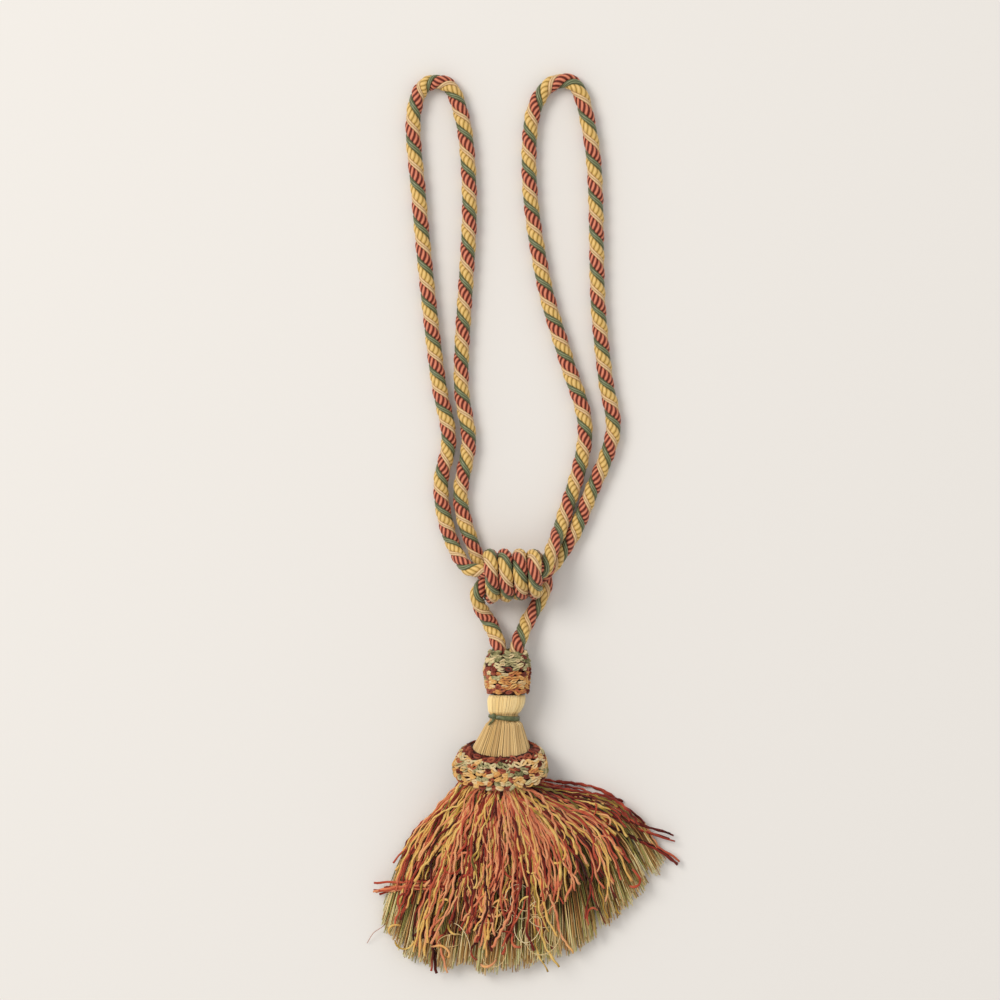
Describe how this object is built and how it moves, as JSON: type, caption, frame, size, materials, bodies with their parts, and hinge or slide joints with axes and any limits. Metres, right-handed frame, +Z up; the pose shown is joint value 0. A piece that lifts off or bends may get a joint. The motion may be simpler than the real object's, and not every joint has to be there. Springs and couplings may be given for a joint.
{
  "type": "curtain tieback tassel",
  "caption": "Curtain tieback: a four-ply twisted rope knotted into two long loops, with a fringed yarn tassel, lying flat.",
  "frame": {"origin": "on the surface it lies on, under the middle of the tassel's own box (the rope left out)", "axes": "+Y from the tassel towards the curtain loops, +X to the right seen from above, +Z up from the surface"},
  "size_m": [0.2082, 0.681, 0.0452],
  "materials": {
    "rope": "twisted viscose and cotton rope",
    "ruff": "knotted chenille",
    "yarn": "smooth viscose yarn",
    "tie": "satin ribbon",
    "fringe": "fine cut viscose fringe",
    "chenille": "chenille yarn"
  },
  "bodies": {
    "root": {"rope": "rope", "head_ruff": "ruff", "yarn_bundle": "yarn", "waist_tie": "tie", "collar_ruff": "ruff", "fringe_skirt": "fringe", "chenille_skirt": "chenille"}
  },
  "joints": []
}
